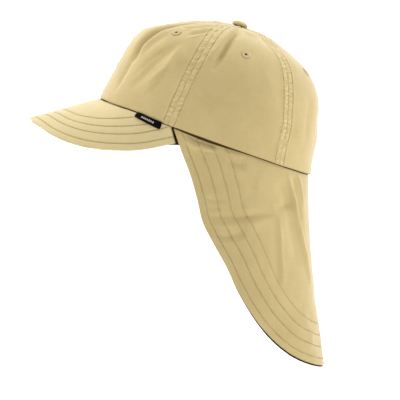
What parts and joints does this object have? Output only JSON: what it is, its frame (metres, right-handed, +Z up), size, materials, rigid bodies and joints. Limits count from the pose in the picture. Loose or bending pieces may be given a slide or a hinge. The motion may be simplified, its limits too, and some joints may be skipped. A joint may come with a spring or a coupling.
{
  "type": "legionnaire cap",
  "caption": "Panelled cloth sun cap with a curved stitched peak, a button on top and a long lined neck flap, in the form that it takes when worn.",
  "frame": {"origin": "centre of the head opening, in the plane of the crown's rim, midway between the rim's front and back", "axes": "+Z up as worn, -Y to the front, +X to the wearer's left"},
  "size_m": [0.1724, 0.2692, 0.3137],
  "materials": {
    "shell_cloth": "plain-woven cotton and nylon cloth, washed, tan",
    "thread": "sewing and embroidery thread, tan",
    "dark_cloth": "plain-woven lining cloth, brown-black",
    "black_tape": "woven satin tape, black"
  },
  "bodies": {
    "root": {"front_panel_left": "shell_cloth", "side_panel_left": "shell_cloth", "rear_panel_left": "shell_cloth", "front_panel_right": "shell_cloth", "side_panel_right": "shell_cloth", "rear_panel_right": "shell_cloth", "front_panel_left_eyelet": "thread", "side_panel_left_eyelet": "thread", "rear_panel_left_eyelet": "thread", "front_panel_right_eyelet": "thread", "side_panel_right_eyelet": "thread", "rear_panel_right_eyelet": "thread", "button": "shell_cloth", "peak": "shell_cloth", "peak_underside": "dark_cloth", "side_tab": "black_tape", "neck_flap": "shell_cloth", "neck_flap_lining": "dark_cloth"}
  },
  "joints": []
}
